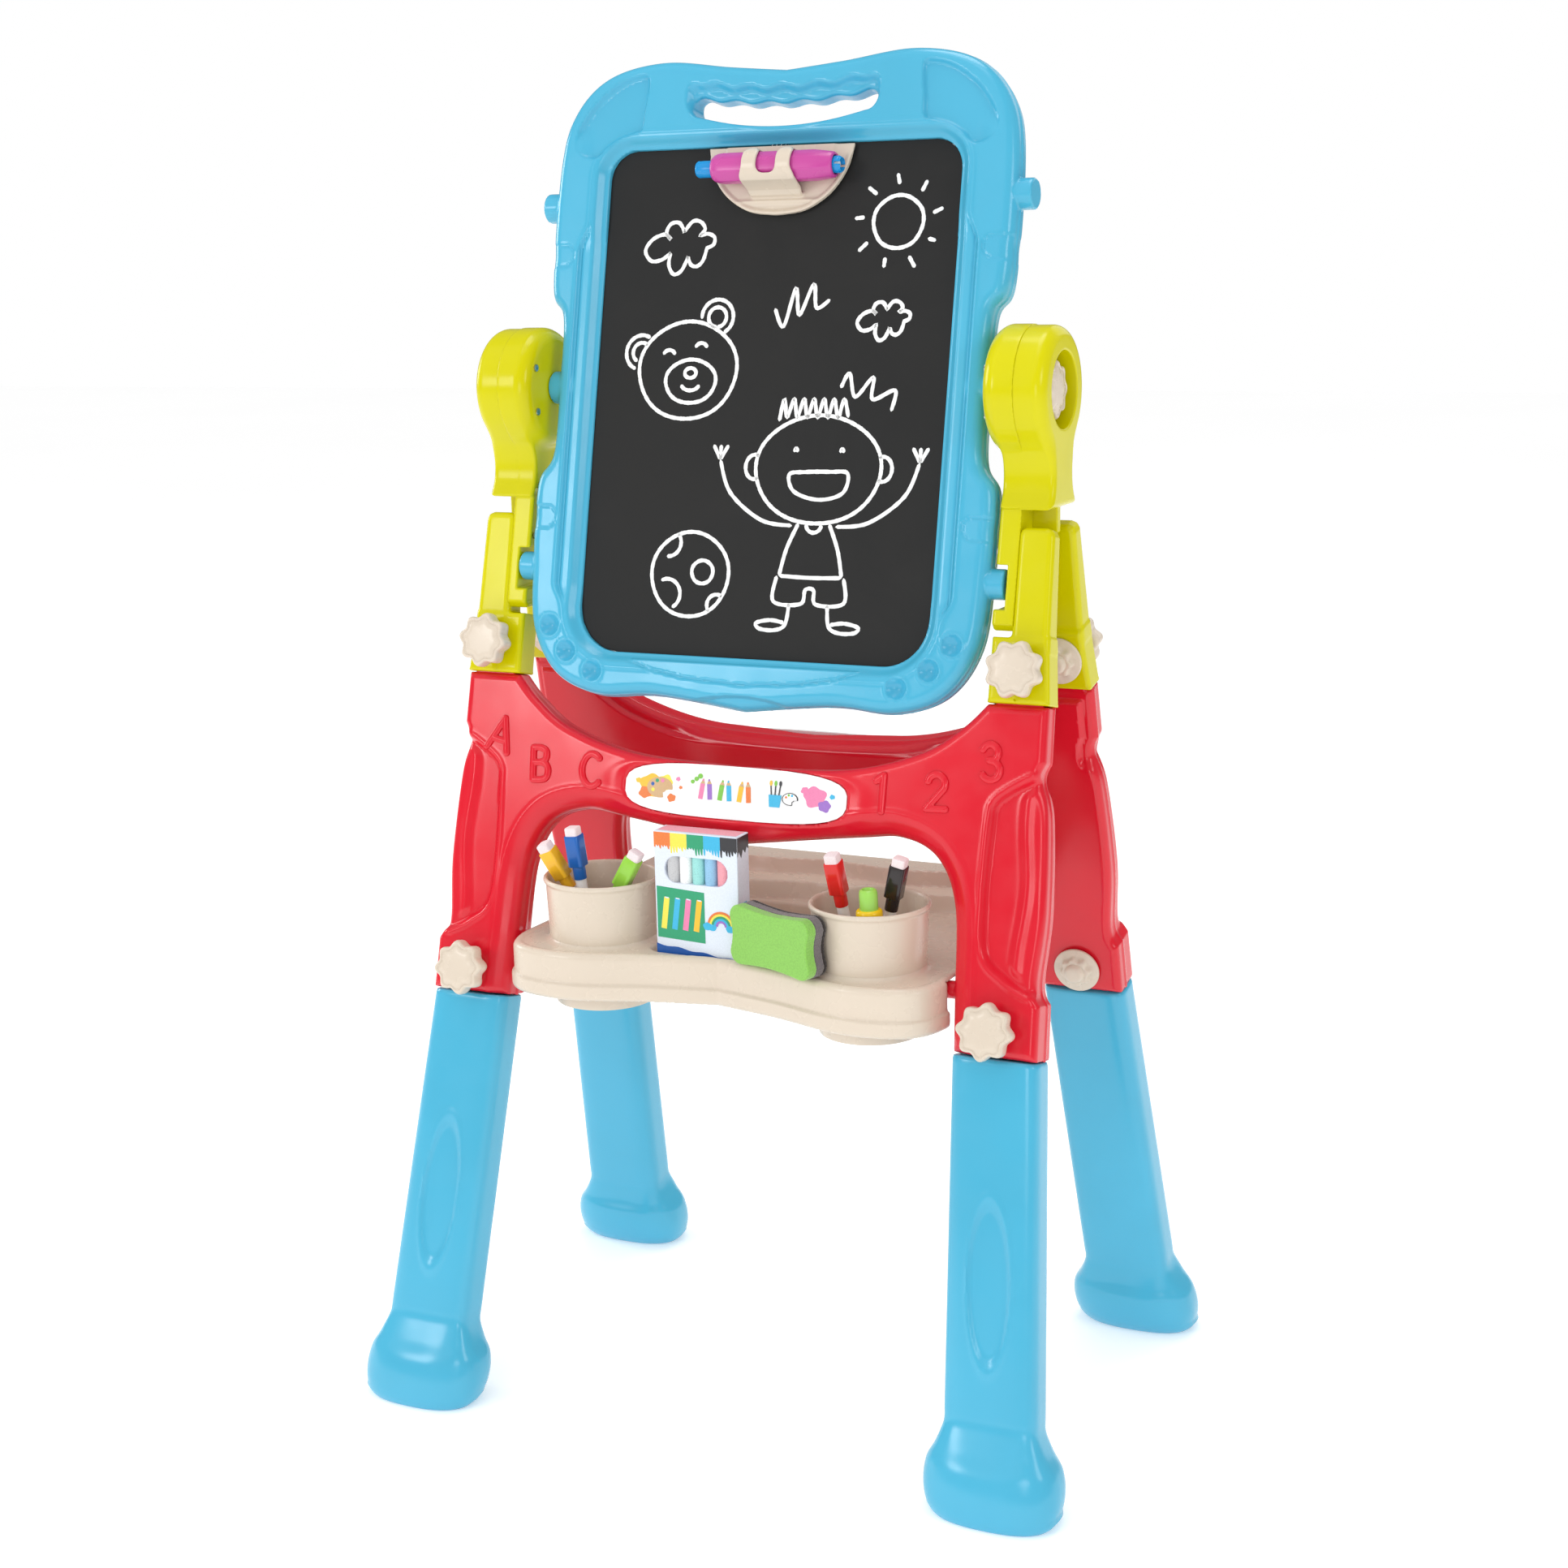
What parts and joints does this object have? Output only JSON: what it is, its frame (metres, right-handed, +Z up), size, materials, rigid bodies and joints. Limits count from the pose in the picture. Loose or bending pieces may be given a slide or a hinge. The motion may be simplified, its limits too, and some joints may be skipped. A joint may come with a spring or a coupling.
{
  "type": "kids easel",
  "caption": "Folding double-sided kids easel: a board that turns between two hubs on an A-frame, with a paper clip, a chalk holder and a tray of drawing supplies.",
  "frame": {"origin": "on the floor, in the middle of the four feet, straight below the board pivot", "axes": "+Z up, -Y towards the front, where the blackboard is, +X to the right as seen from the front"},
  "size_m": [0.5578, 0.3866, 0.986],
  "materials": {
    "blue": "glossy blow-moulded plastic",
    "red": "glossy blow-moulded plastic",
    "lime": "glossy injection-moulded plastic",
    "cream": "satin injection-moulded plastic",
    "black_panel": "matt chalkboard sheet",
    "white_panel": "glossy dry-erase sheet",
    "label": "glossy white plate with printed paint icons",
    "steel": "plain steel",
    "magenta": "glossy plastic",
    "deep_blue": "glossy plastic",
    "carton": "printed coated card, satin",
    "foam_green": "matt foam",
    "felt_black": "matt felt",
    "marker_yellow": "glossy plastic",
    "marker_blue": "glossy plastic",
    "marker_green": "glossy plastic",
    "marker_lime": "glossy plastic",
    "marker_red": "glossy plastic",
    "marker_black": "glossy plastic"
  },
  "bodies": {
    "hubs": {"hub_inner_left": "lime", "hub_inner_right": "lime", "hub_outer_left": "lime", "hub_outer_right": "lime", "hinge_pin_front_left": "steel", "hinge_pin_front_right": "steel", "hinge_pin_rear_left": "steel", "hinge_pin_rear_right": "steel"},
    "front_frame": {"front_frame": "red", "label_front": "label", "bracket_front_left": "lime", "bracket_front_right": "lime", "leg_front_left": "blue", "leg_front_right": "blue", "nut_upper_front_left": "cream", "nut_upper_front_right": "cream", "nut_lower_front_left": "cream", "nut_lower_front_right": "cream"},
    "rear_frame": {"rear_frame": "red", "label_rear": "label", "bracket_rear_left": "lime", "bracket_rear_right": "lime", "leg_rear_left": "blue", "leg_rear_right": "blue", "nut_upper_rear_left": "cream", "nut_upper_rear_right": "cream", "nut_lower_rear_left": "cream", "nut_lower_rear_right": "cream"},
    "board": {"board_frame": "blue", "blackboard_panel": "black_panel", "whiteboard_panel": "white_panel", "pivot_insert_left": "steel", "pivot_insert_right": "steel", "clip_hinge_pin": "steel", "clip_spring": "steel"},
    "paper_clip": {"paper_clip": "cream"},
    "chalk_holder": {"chalk_holder_barrel": "magenta", "chalk_holder_collet": "deep_blue"},
    "holder_plunger": {"chalk_holder_plunger": "deep_blue"},
    "tray": {"tray": "cream"},
    "chalk_box": {"chalk_box": "carton"},
    "eraser": {"eraser_pad": "foam_green", "eraser_felt": "felt_black"},
    "hub_knob_left": {"hub_knob_left": "cream"},
    "hub_knob_right": {"hub_knob_right": "cream"},
    "knob_upper_front_left": {"knob_upper_front_left": "cream"},
    "knob_upper_front_right": {"knob_upper_front_right": "cream"},
    "knob_lower_front_left": {"knob_lower_front_left": "cream"},
    "knob_lower_front_right": {"knob_lower_front_right": "cream"},
    "knob_upper_rear_left": {"knob_upper_rear_left": "cream"},
    "knob_upper_rear_right": {"knob_upper_rear_right": "cream"},
    "knob_lower_rear_left": {"knob_lower_rear_left": "cream"},
    "knob_lower_rear_right": {"knob_lower_rear_right": "cream"},
    "marker_yellow": {"marker_yellow": "marker_yellow"},
    "marker_blue": {"marker_blue": "marker_blue"},
    "marker_green": {"marker_green": "marker_green"},
    "marker_red": {"marker_red": "marker_red"},
    "marker_lime": {"marker_lime": "marker_lime"},
    "marker_black": {"marker_black": "marker_black"}
  },
  "joints": [
    {"name": "front_fold", "type": "hinge", "parent": "hubs", "child": "front_frame", "pos_m": [0, -0.03241, 0.59758], "axis": [1, 0, 0], "range_deg": [0, 12.8]},
    {"name": "rear_fold", "type": "hinge", "parent": "hubs", "child": "rear_frame", "pos_m": [0, 0.03241, 0.59758], "axis": [1, 0, 0], "range_deg": [-12.8, 0]},
    {"name": "board_turn", "type": "hinge", "parent": "hubs", "child": "board", "pos_m": [0, 0, 0.7527], "axis": [1, 0, 0], "continuous": true},
    {"name": "clip_open", "type": "hinge", "parent": "board", "child": "paper_clip", "pos_m": [0, 0.03103, 0.9213], "axis": [-1, 0, 0], "range_deg": [0, 30], "stiffness_Nm_per_rad": 0.15, "springref_deg": -28.65},
    {"name": "holder_slide", "type": "slide", "parent": "paper_clip", "child": "chalk_holder", "axis": [1, 0, 0], "range_m": [0, 0.08]},
    {"name": "plunger_push", "type": "slide", "parent": "chalk_holder", "child": "holder_plunger", "axis": [1, 0, 0], "range_m": [0, 0.008], "stiffness_N_per_m": 150, "springref_m": -0.004},
    {"name": "hub_knob_left_turn", "type": "hinge", "parent": "hubs", "child": "hub_knob_left", "pos_m": [-0.2081, 0, 0.7527], "axis": [-1, 0, 0], "continuous": true},
    {"name": "hub_knob_right_turn", "type": "hinge", "parent": "hubs", "child": "hub_knob_right", "pos_m": [0.2081, 0, 0.7527], "axis": [1, 0, 0], "continuous": true},
    {"name": "knob_upper_front_left_turn", "type": "hinge", "parent": "front_frame", "child": "knob_upper_front_left", "pos_m": [-0.21, -0.05145, 0.56645], "axis": [0, -0.9727, 0.2321], "continuous": true},
    {"name": "knob_upper_front_right_turn", "type": "hinge", "parent": "front_frame", "child": "knob_upper_front_right", "pos_m": [0.21, -0.05145, 0.56645], "axis": [0, -0.9727, 0.2321], "continuous": true},
    {"name": "knob_lower_front_left_turn", "type": "hinge", "parent": "front_frame", "child": "knob_lower_front_left", "pos_m": [-0.2095, -0.10857, 0.32707], "axis": [0, -0.9727, 0.2321], "continuous": true},
    {"name": "knob_lower_front_right_turn", "type": "hinge", "parent": "front_frame", "child": "knob_lower_front_right", "pos_m": [0.2095, -0.10857, 0.32707], "axis": [0, -0.9727, 0.2321], "continuous": true},
    {"name": "knob_upper_rear_left_turn", "type": "hinge", "parent": "rear_frame", "child": "knob_upper_rear_left", "pos_m": [-0.21, 0.05145, 0.56645], "axis": [0, 0.9727, 0.2321], "continuous": true},
    {"name": "knob_upper_rear_right_turn", "type": "hinge", "parent": "rear_frame", "child": "knob_upper_rear_right", "pos_m": [0.21, 0.05145, 0.56645], "axis": [0, 0.9727, 0.2321], "continuous": true},
    {"name": "knob_lower_rear_left_turn", "type": "hinge", "parent": "rear_frame", "child": "knob_lower_rear_left", "pos_m": [-0.2095, 0.10857, 0.32707], "axis": [0, 0.9727, 0.2321], "continuous": true},
    {"name": "knob_lower_rear_right_turn", "type": "hinge", "parent": "rear_frame", "child": "knob_lower_rear_right", "pos_m": [0.2095, 0.10857, 0.32707], "axis": [0, 0.9727, 0.2321], "continuous": true},
    {"name": "tray_lift", "type": "slide", "parent": "hubs", "child": "tray", "axis": [0, 0, 1], "range_m": [0, 0.02]},
    {"name": "chalk_box_lift", "type": "slide", "parent": "tray", "child": "chalk_box", "axis": [0, 0, 1], "range_m": [0, 0.12]},
    {"name": "eraser_lift", "type": "slide", "parent": "tray", "child": "eraser", "axis": [0, 0, 1], "range_m": [0, 0.08]},
    {"name": "marker_yellow_lift", "type": "slide", "parent": "tray", "child": "marker_yellow", "axis": [-0.3717, -0.2907, 0.8817], "range_m": [0, 0.12]},
    {"name": "marker_blue_lift", "type": "slide", "parent": "tray", "child": "marker_blue", "axis": [-0.0859, -0.0827, 0.9929], "range_m": [0, 0.12]},
    {"name": "marker_green_lift", "type": "slide", "parent": "tray", "child": "marker_green", "axis": [0.4864, 0.0189, 0.8736], "range_m": [0, 0.03]},
    {"name": "marker_red_lift", "type": "slide", "parent": "tray", "child": "marker_red", "axis": [-0.0927, -0.2064, 0.9741], "range_m": [0, 0.12]},
    {"name": "marker_lime_lift", "type": "slide", "parent": "tray", "child": "marker_lime", "axis": [-0.0324, -0.027, 0.9991], "range_m": [0, 0.12]},
    {"name": "marker_black_lift", "type": "slide", "parent": "tray", "child": "marker_black", "axis": [0.2259, -0.063, 0.9721], "range_m": [0, 0.12]}
  ],
  "couplings": [
    {"joint": "rear_fold", "follows": "front_fold", "ratio": -1}
  ]
}
